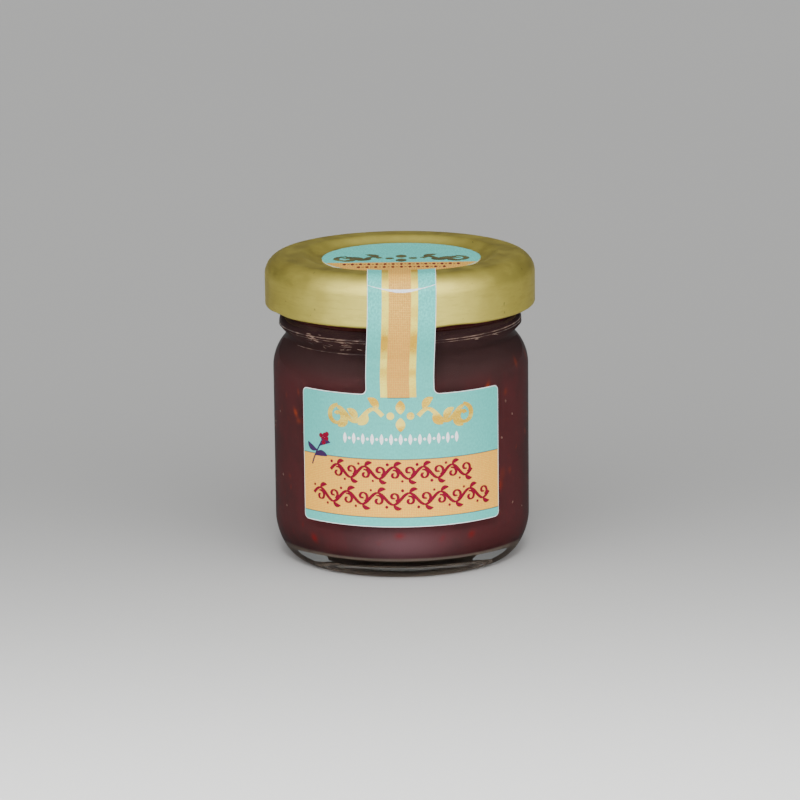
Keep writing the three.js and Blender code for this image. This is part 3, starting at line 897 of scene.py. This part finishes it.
PATH = strip_path()
PATH_S = np.concatenate(([0], np.cumsum(np.hypot(*np.diff(PATH, axis=0).T)))) + LABEL_BOTTOM
PATH_SLOPE = np.gradient(PATH, PATH_S, axis=0)
S_END = PATH_S[-1]
S_DISC = S_END - DISC_R                    # the disc's middle
S_NECK = S_DISC - math.sqrt(DISC_R ** 2 - STRIP_HALF ** 2)  # where the strip meets it


def on_paper(u, s, lift):
    """The place of a point of the label: s picks the point (r, z) and its normal on the
    middle line, and u goes round at angle u / r, or straight sideways on the flat panel.
    lift raises it off what the paper is stuck to."""
    u, s = np.broadcast_arrays(np.asarray(u, float), np.asarray(s, float))
    r, z, dr, dz = (np.interp(s, PATH_S, column) for column in (*PATH.T, *PATH_SLOPE.T))
    up = blend(LABEL_TOP, FOLD_Z, s)
    lean = np.where(s > LABEL_TOP - 1, STRIP_LEAN[0] + (STRIP_LEAN[1] - STRIP_LEAN[0]) * up, 0)
    u = u + LABEL_SHIFT + lean * blend(LABEL_TOP - 1, LABEL_TOP + 4, s)
    lift = lift + cockle(u, s)
    r = r + dz * lift
    z = z - dr * lift
    level = 1 - blend(DISC_R - 1.2, PANEL_R - 0.2, r)
    around = u / np.maximum(r, 1)
    x = (1 - level) * r * np.sin(around) + level * u
    y = -r * ((1 - level) * np.cos(around) + level)
    return np.stack((x, y, z), -1)


def cockle(u, s):
    """Gentle waves where the strip is free of glass and lid, fading out at both ends."""
    free = blend(*STRIP_FREE[:2], s) * (1 - blend(*STRIP_FREE[2:], s))
    return free * (0.02 * np.sin(2.1 * s + 0.25 * u) + 0.01 * np.sin(3.7 * s - 0.5 * u) + 0.05)


def slab(u, s, low, high):
    """A closed thin slab over a grid of (u, s): its top at lift high and its back at lift
    low. Gives points, quads and (u, s) of each point."""
    points = np.vstack([on_paper(u, s, lift).reshape(-1, 3) for lift in (high, low)])
    return points, slab_faces(u.shape), np.tile(np.column_stack((u.ravel(), s.ravel())), (2, 1))


def print_on(name, parts, material):
    """One printed colour as a piece of its own, sunk slightly into the paper."""
    uv = np.vstack([part[2] for part in parts])
    piece(name, *join(parts), [material], "printed_paper", uv=uv, crease=50)


def rows_between(low, high):
    """Row places on the label's common spacing, with the two given ends."""
    first, last = math.ceil(low / ROW_STEP + 0.5), math.floor(high / ROW_STEP - 0.5)
    return np.concatenate(([low], np.arange(first, last + 1) * ROW_STEP, [high]))


def field(left, right, low, high, level=1):
    """A printed area between two sides, each a number or a function of s. level is its
    height in ink thicknesses."""
    s = rows_between(low, high)
    side = [edge(s) if callable(edge) else np.full(len(s), edge) for edge in (left, right)]
    count = max(2, int(np.max(side[1] - side[0]) / COLUMN_STEP) + 1)
    t = np.linspace(0, 1, count)
    u = side[0][:, None] * (1 - t) + side[1][:, None] * t
    return slab(u, np.repeat(s[:, None], count, 1), PAPER - INK, PAPER + INK * level)


def label_half_width(s):
    """Half the rectangle's width, less its rounded corners."""
    inside = np.minimum(s - LABEL_BOTTOM, LABEL_TOP - s)
    bite = np.clip(LABEL_CORNER - inside, 0, LABEL_CORNER)
    return LABEL_HALF - LABEL_CORNER + np.sqrt(LABEL_CORNER ** 2 - bite ** 2)


def strip_half_width(s):
    """Half the strip's width: a fillet out of the rectangle, an even run, and the round
    end, where it is the half chord of the disc."""
    rise = np.clip(s - LABEL_TOP, 0, STRIP_FILLET)
    flare = STRIP_FILLET - np.sqrt(STRIP_FILLET ** 2 - (STRIP_FILLET - rise) ** 2)
    chord = np.sqrt(np.maximum(DISC_R ** 2 - (s - S_DISC) ** 2, 0))
    return np.where(s < S_NECK, STRIP_HALF + flare, chord)


def label_sheet():
    """Grid places (u, s) of the whole label as one sheet: the rectangle's rows, then the
    strip's and the disc's, which share the rectangle's top row across the strip's foot."""
    half_foot = STRIP_HALF + STRIP_FILLET
    corner_rows = LABEL_CORNER * (1 - np.cos(np.linspace(0, math.pi / 2, 7)))
    middle = np.arange(LABEL_BOTTOM + 1, LABEL_TOP - 0.8, 4 * ROW_STEP)
    wide_s = np.concatenate((LABEL_BOTTOM + corner_rows, middle, LABEL_TOP - corner_rows[::-1]))
    foot = np.linspace(-half_foot, half_foot, 28)
    flat_end = LABEL_HALF - LABEL_CORNER
    side = np.linspace(half_foot, flat_end, 26)[1:]
    half = label_half_width(wide_s)[:, None]
    fixed = np.concatenate((-side[::-1], foot, side))
    wide_u = np.hstack((-half, np.repeat(fixed[None], len(wide_s), 0), half))
    end_rows = S_DISC + DISC_R * np.sin(np.radians(np.linspace(60, 88.5, 24)))
    narrow_s = np.concatenate((
        LABEL_TOP + STRIP_FILLET * (1 - np.cos(np.linspace(0, math.pi / 2, 8)))[1:],
        rows_between(LABEL_TOP + STRIP_FILLET, end_rows[0])[1:-1],
        end_rows,
    ))
    t = np.linspace(-1, 1, len(foot))
    narrow_u = strip_half_width(narrow_s)[:, None] * t
    wide_index = np.arange(wide_u.size).reshape(wide_u.shape)
    start = 1 + len(side)
    narrow_index = wide_u.size + np.arange(narrow_u.size).reshape(narrow_u.shape)
    narrow_index = np.vstack((wide_index[-1, start:start + len(foot)], narrow_index))
    u = np.concatenate((wide_u.ravel(), narrow_u.ravel()))
    s = np.concatenate((np.repeat(wide_s, wide_u.shape[1]), np.repeat(narrow_s, len(foot))))
    return u, s, np.vstack((grid_faces(wide_index), grid_faces(narrow_index)))


def make_label_paper():
    """The paper as a closed sheet, printed teal in front and white at its back and edge. An
    edge that only one quad has lies on the rim and gets a wall."""
    u, s, front = label_sheet()
    edges = np.vstack([front[:, [k, (k + 1) % 4]] for k in range(4)])
    both = np.sort(edges, axis=1)
    _, first, counts = np.unique(both, axis=0, return_index=True, return_counts=True)
    rim = edges[first[counts == 1]]
    count = len(u)
    walls = np.column_stack((rim[:, 0], rim[:, 0] + count, rim[:, 1] + count, rim[:, 1]))
    faces = np.vstack((front, front[:, ::-1] + count, walls))
    points = np.vstack((on_paper(u, s, PAPER), on_paper(u, s, 0)))
    indices = np.concatenate((np.zeros(len(front)), np.ones(len(front) + len(walls))))
    uv = np.tile(np.column_stack((u, s)), (2, 1))
    inks = [printed_paper("teal_print", rgb(86, 194, 184)), plain_paper()]
    paper = piece("label_paper", points, faces, inks, "printed_paper", indices, uv, crease=50)
    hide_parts("label")


def within(half_width):
    """Both sides of a field that ends PRINT_INSET inside a half width, a function of s."""
    return (lambda s: PRINT_INSET - half_width(s)), (lambda s: half_width(s) - PRINT_INSET)


def make_print_fields():
    """The label's colour fields and the fine lines along them."""
    beige = printed_paper("beige_print", rgb(244, 188, 66), rgb(232, 142, 44))
    peach = printed_paper("peach_print", rgb(226, 172, 72), rgb(214, 138, 50))
    dark = flat_ink("keyline_ink", rgb(92, 96, 84))
    foil = gold_ink("gold_foil", rgb(255, 240, 110), rgb(222, 176, 54), 0.5, FOIL_REFLECTION_BANDS)
    rectangle, round_end = within(label_half_width), within(strip_half_width)
    left, right = PEACH
    print_on("beige_band", [field(*rectangle, BAND_LOW, BAND_HIGH)], beige)
    print_on("peach_stripe", [field(left, right, STRIPES_END, S_NECK)], peach)
    print_on("gold_stripes", [
        field(edge, edge + GOLD_WIDTH, STRIPES_END, S_NECK - 0.1) for edge in (left - GOLD_WIDTH, right)
    ], foil)
    print_on("peach_end", [field(*round_end, S_NECK + 0.02, S_DISC + DISC_SPLIT)], peach)
    print_on("keylines", [
        field(*rectangle, s - KEYLINE / 2, s + KEYLINE / 2, 2) for s in (BAND_HIGH, BAND_LOW)
    ] + [field(left, right, STRIPES_END - KEYLINE, STRIPES_END, 2)], dark)


# ---- ornaments --------------------------------------------------------------------------


def stroke(points, width, lift=2.5):
    """A ribbon of a given width along a line of (u, s) points, as a thin slab. Strokes that
    cross in one piece get different lifts, in ink thicknesses."""
    points = np.asarray(points, float)
    across = sideways(points) * (np.broadcast_to(width, len(points)) / 2)[:, None]
    t = np.array([-1.0, 0.0, 1.0])
    u, s = (points[:, [k]] + across[:, [k]] * t for k in (0, 1))
    return slab(u, s, PAPER - INK, PAPER + lift * INK)


def pen(way, thin, thick):
    """A broad pen's width: thin on level strokes and thick on upright ones."""
    slope = np.gradient(np.asarray(way, float), axis=0)
    upright = np.abs(slope[:, 1]) / (np.hypot(*slope.T) + 1e-9)
    return thin + (thick - thin) * upright


def leaf(start, end, width, bend=0.15):
    """A lens from start to end whose middle line bends sideways by a share of its length."""
    start, end = np.asarray(start, float), np.asarray(end, float)
    t = np.linspace(0.02, 0.98, 13)[:, None]
    side = np.array((-(end - start)[1], (end - start)[0]))
    middle = start + (end - start) * t + side * bend * np.sin(math.pi * t)
    return stroke(middle, width * np.sin(math.pi * t[:, 0]) ** 0.8)


def dot(centre, radius, lift=2.5):
    """A disc, drawn as a stroke whose width is its chord."""
    x = radius * np.sin(np.linspace(-1.45, 1.45, 11))
    points = np.column_stack((centre[0] + x, np.full(len(x), centre[1])))
    return stroke(points, 2 * np.sqrt(radius ** 2 - x ** 2), lift)


def spiral(centre, radius, start, turns, steps=40):
    """A spiral that winds in: its radius shrinks evenly as its angle grows."""
    t = np.linspace(0, 1, steps)
    angle = math.radians(start) + TURN * turns * t
    r = radius * (1 - 0.78 * t)
    return np.column_stack((centre[0] + r * np.cos(angle), centre[1] + r * np.sin(angle)))


def leafy_ornament(centre, size, height):
    """A flourish: two upright leaves and two dots in the middle, and on each side a waved
    stem with leaves that ends in a spiral. size is its half width, and its other sizes are
    shares of half its height."""
    u0, s0 = centre
    k = height / 2
    parts = [leaf((u0, s0 + side * 0.1 * k), (u0, s0 + side * k), 0.6 * k, 0) for side in (-1, 1)]
    parts += [dot((u0 + side * 0.62 * k, s0), 0.24 * k) for side in (-1, 1)]
    t = np.linspace(0, 1, 60)
    stem = np.column_stack((1.1 * k + (size - 1.75 * k) * t, 0.42 * k * np.sin(TURN * 1.25 * t)))
    coil = spiral((size - 0.68 * k, stem[-1, 1] - 0.55 * k), 0.68 * k, 90, -1.15)
    for side in (-1, 1):
        turn = np.array((side, 1.0))
        for lift, way in ((3, (u0, s0) + stem * turn), (3.5, (u0, s0) + coil * turn)):
            parts.append(stroke(way, pen(way, 0.2 * k, 0.32 * k), lift))
        for at, rise in ((0.12, 1), (0.34, -1), (0.58, 1), (0.8, -1)):
            foot = stem[int(at * 59)]
            tip = foot + np.array((0.6 * k, rise * 0.78 * k))
            parts.append(leaf((u0, s0) + foot * turn, (u0, s0) + tip * turn, 0.5 * k, 0.18 * rise * side))
    return parts


def lozenge_row(centre, half, count, height):
    """Upright lozenges with a dot between each two."""
    u0, s0 = centre
    step = 2 * half / (count - 1)
    parts = [leaf((u, s0 - height / 2), (u, s0 + height / 2), 0.34 * height, 0)
             for u in u0 - half + step * np.arange(count)]
    parts += [dot((u, s0), 0.13 * height) for u in u0 - half + step * (np.arange(count - 1) + 0.5)]
    return parts


def vine(centre, height, half, waves, seed):
    """A row of ornament: a waved stem in a broad pen's line, with a curl in each hollow, a
    leaf on each crest and a berry between, their sizes slightly uneven."""
    random = np.random.default_rng(seed)
    u0, s0 = centre
    t = np.linspace(0, 1, 60 * waves)
    stem = np.column_stack((u0 - half + 2 * half * t, s0 + 0.3 * height * np.sin(TURN * waves * t)))
    parts = [stroke(stem, pen(stem, 0.3, 0.62), 3)]
    pitch = half / waves
    for i in range(2 * waves):
        side = 1 if i % 2 == 0 else -1
        middle = u0 - half + pitch * (i + 0.5)
        size = 0.27 * height * random.uniform(0.92, 1.08)
        coil = spiral((middle + 0.1, s0 - 0.1 * side * height), size, 90 * side + 20, -side * 1.05)
        parts.append(stroke(coil, pen(coil, 0.26, 0.5), 3.5))
        crest = np.array((middle, s0 + 0.3 * side * height))
        parts.append(leaf(crest, crest + (0.55 * pitch, 0.2 * side * height), 0.72, 0.2 * side))
        parts.append(dot(crest + (-0.42 * pitch, 0.13 * height * side), 0.24 * random.uniform(0.85, 1.15)))
    return parts


def berry_sprig(foot, size):
    """A small bent sprig with three leaves and a cluster of berries at its tip. size is its
    height."""
    k = size / 3.3
    t = np.linspace(0, 1, 24)
    foot = np.asarray(foot, float)
    stem = foot + k * np.column_stack((1.7 * t, 3.3 * t ** 0.8))
    leaves = [
        leaf(stem[at], stem[at] + k * np.array(reach), width * k, 0.17)
        for at, reach, width in ((6, (1.9, 0.1), 0.75), (11, (-1.5, 0.9), 0.7), (15, (1.7, 0.6), 0.65))
    ]
    around = [(0, 0), (0.55, 0.1), (0.25, 0.5), (-0.3, 0.4), (0.1, -0.45), (0.6, 0.65)]
    berries = [
        dot(stem[-1] + k * np.array(step), 0.29 * k, 2.5 + 0.4 * i) for i, step in enumerate(around)
    ]
    return [stroke(stem, 0.2 * k, 3)] + leaves, berries


def half_outline():
    """The right half of the label's outline, from the foot of its middle line up its side
    and along the strip to the round end, resampled and just rounded."""
    turn = 1 - np.cos(np.linspace(0, math.pi / 2, 9))
    side_s = np.concatenate((LABEL_BOTTOM + LABEL_CORNER * turn, LABEL_TOP - LABEL_CORNER * turn[::-1]))
    run = np.linspace(LABEL_TOP + 1.5, S_NECK - 0.3, 40)
    strip_s = np.concatenate((LABEL_TOP + STRIP_FILLET * turn, run))
    return smooth_line(np.vstack((
        [[0, LABEL_BOTTOM]],
        np.column_stack((label_half_width(side_s), side_s)),
        np.column_stack((strip_half_width(strip_s), strip_s)),
    )), 0.2, 0.08)


def cut_edge():
    """The white line of bare paper along the label's cut edge."""
    way = half_outline()
    way = way - EDGE_INSET * sideways(way)
    return [stroke(way * (side, 1), EDGE_WIDTH) for side in (1, -1)]


def painted_fold_highlight():
    """A painted highlight along the fold over the lid's edge: a thin uneven white line that
    rises towards the strip's sides with the square of the distance."""
    u = np.linspace(-STRIP_HALF + 0.1, STRIP_HALF - 0.1, 70)
    rising = slice(np.argmax(PATH[:, 1] > FOLD_Z) + 1)
    fold = np.interp(FOLD_Z, PATH[rising, 1], PATH_S[rising])
    off = (u / STRIP_HALF) ** 2
    narrow, more = FOLD_HIGHLIGHT
    width = narrow + more * (1 - off) ** 3 + 0.03 * np.sin(5.1 * u) + 0.02 * np.sin(13.7 * u + 1)
    return [stroke(np.column_stack((u, fold + FOLD_RISE * off)), width, 4)]


def make_ornaments():
    """The print's ornaments: generic leaves, scrolls, lozenges and berries."""
    gold = gold_ink("gold_ink", rgb(255, 232, 110), rgb(226, 176, 46), 0.34)
    crimson = flat_ink("crimson_ink", rgb(124, 8, 42))
    violet = flat_ink("violet_ink", rgb(60, 36, 78))
    white = flat_ink("white_ink", rgb(250, 253, 254))
    print_on("gold_flourish", leafy_ornament(*FLOURISH), gold)
    print_on("white_beading", lozenge_row(*BEADING), white)
    print_on("crimson_vines", [part for row in VINES for part in vine(*row)], crimson)
    sprig, berries = berry_sprig(*SPRIG)
    print_on("sprig_leaves", sprig, violet)
    print_on("sprig_berries", berries, crimson)
    print_on("cut_edge", cut_edge(), white)
    # painted highlight along the fold, in the white ink
    print_on("painted_fold_highlight", painted_fold_highlight(), white)


def make_disc_print():
    """The round end's print: a flourish on the far part and two rows of small marks."""
    brown = flat_ink("brown_ink", rgb(112, 40, 40))
    dim_gold = gold_ink("dim_gold_ink", rgb(150, 148, 80), rgb(108, 102, 50), 0.3)
    shift, *size = DISC_FLOURISH
    print_on("disc_flourish", leafy_ornament((0, S_DISC + shift), *size), dim_gold)
    marks = [lozenge_row((0, S_DISC + shift), half, count, DISC_MARK) for shift, half, count in DISC_ROWS]
    print_on("disc_marks", marks[0] + marks[1], brown)


# =========================================================================================
# Stage, light and camera
# =========================================================================================


def make_floor():
    """A level sheet under the part."""
    corners = [Vector((x, y, 0)) * STAGE_HALF * MM for x, y in ((-1, -1), (1, -1), (1, 1), (-1, 1))]
    mesh = bpy.data.meshes.new("floor")
    mesh.from_pydata(corners, [], [(0, 1, 2, 3)])
    mesh.materials.append(pale_floor())
    floor = bpy.data.objects.new("floor", mesh)
    bpy.context.scene.collection.objects.link(floor)


def soft_box(name, place, aim, size, power, seen_by, spread=180):
    """An area light of the given size in mm, aimed at a point and lighting only the kinds of
    rays in seen_by. spread narrows its beam, in degrees, as a grid does."""
    lamp = bpy.data.lights.new(name, "AREA")
    lamp.shape = "RECTANGLE"
    lamp.size, lamp.size_y = size[0] * MM, size[1] * MM
    lamp.energy = power
    lamp.spread = math.radians(spread)
    obj = bpy.data.objects.new(name, lamp)
    obj.visible_camera = False
    for kind in ("diffuse", "glossy", "transmission"):
        setattr(obj, "visible_" + kind, kind in seen_by)
    obj.location = Vector(place) * MM
    obj.rotation_euler = (Vector(aim) - Vector(place)).to_track_quat("-Z", "Y").to_euler()
    bpy.context.scene.collection.objects.link(obj)


def soft_dome():
    """Light from all round: its strength rises smoothly, as a cubic step of the cosine,
    from the back and sides to a broad maximum in front of the label, and a little more of
    it comes from straight above."""
    world = bpy.context.scene.world or bpy.data.worlds.new("world")
    bpy.context.scene.world = world
    world.use_nodes = True
    sky = Nodes(world.node_tree)
    background = sky.nodes["Background"].inputs
    background["Color"].default_value = (1.0, 1.0, 1.0, 1.0)
    way = sky.node("ShaderNodeTexCoord").outputs["Generated"]
    rise = math.radians(DOME_RISE)
    brightest = (0, -math.cos(rise), math.sin(rise))
    cosine = sky.node("ShaderNodeVectorMath", {"operation": "DOT_PRODUCT"}, _0=way, _1=brightest)
    in_front = sky.spread(cosine.outputs["Value"], 0.0, 1.0, *DOME_LIGHT)
    above = sky.spread(sky.along(way, "Z"), DOME_TOP_FROM, 1.0, 0.0, DOME_TOP)
    total = sky.math("ADD", in_front, above)
    sky.links.new(sky.math("MULTIPLY", total, sky.mirror_share()), background["Strength"])


def make_light():
    """The dome, a small lamp that only gives gloss, and one that lights the floor in front."""
    soft_dome()
    soft_box("small_lamp", place=(0, -750, 1300), aim=(0, 0, 50), size=(150, 90), power=2.2,
             seen_by=("glossy",))
    soft_box("table_lamp", place=(0, -620, 520), aim=(0, -170, 0), size=(420, 120), power=0.9,
             seen_by=("diffuse", "glossy"), spread=18)


def make_camera():
    """A long lens in front of the label and a little above it, aimed at VIEW_TARGET."""
    camera = bpy.data.objects.new("camera", bpy.data.cameras.new("camera"))
    camera.data.lens = LENS
    camera.data.sensor_width = SENSOR
    camera.data.clip_start = 0.01
    back = Vector((0, -math.cos(VIEW_ELEVATION), math.sin(VIEW_ELEVATION)))
    turn = (-back).to_track_quat("-Z", "Y").to_matrix() @ Matrix.Rotation(VIEW_ROLL, 3, "Z")
    camera.matrix_world = Matrix.Translation(VIEW_TARGET + back * VIEW_DISTANCE) @ turn.to_4x4()
    bpy.context.scene.collection.objects.link(camera)
    bpy.context.scene.camera = camera


make_camera()
make_floor()
make_light()
make_jar()
make_neck_ridges()
make_jam()
make_seeds()
make_lid()
make_label_paper()
make_print_fields()
make_ornaments()
make_disc_print()
